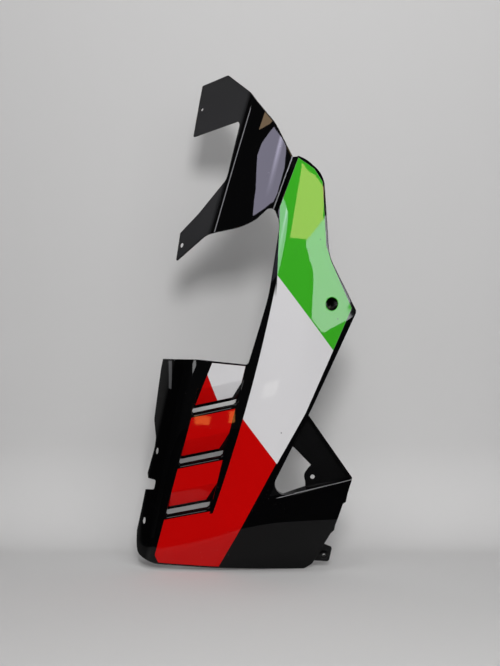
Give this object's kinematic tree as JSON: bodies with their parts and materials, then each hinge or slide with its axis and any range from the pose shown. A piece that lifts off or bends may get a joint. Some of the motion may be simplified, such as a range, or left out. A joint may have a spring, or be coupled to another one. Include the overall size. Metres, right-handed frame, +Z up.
{
  "type": "belly pan",
  "caption": "Left-hand motorbike belly pan: one painted plastic moulding with a tall arm, recessed wing with folded flaps, pressed air gills, folded nose flange and bolt-on strut.",
  "frame": {"origin": "centre of the bolt well's mouth on the outer face of the arm", "axes": "+X towards the rear of the motorbike, +Y inboard, +Z up"},
  "size_m": [0.3374, 0.1654, 0.7752],
  "materials": {
    "painted_plastic": "gloss black paint with plain fields of green, white and red; satin dark grey on the flaps, front flange and strut"
  },
  "bodies": {
    "root": {"belly_pan": "painted_plastic"}
  },
  "joints": []
}
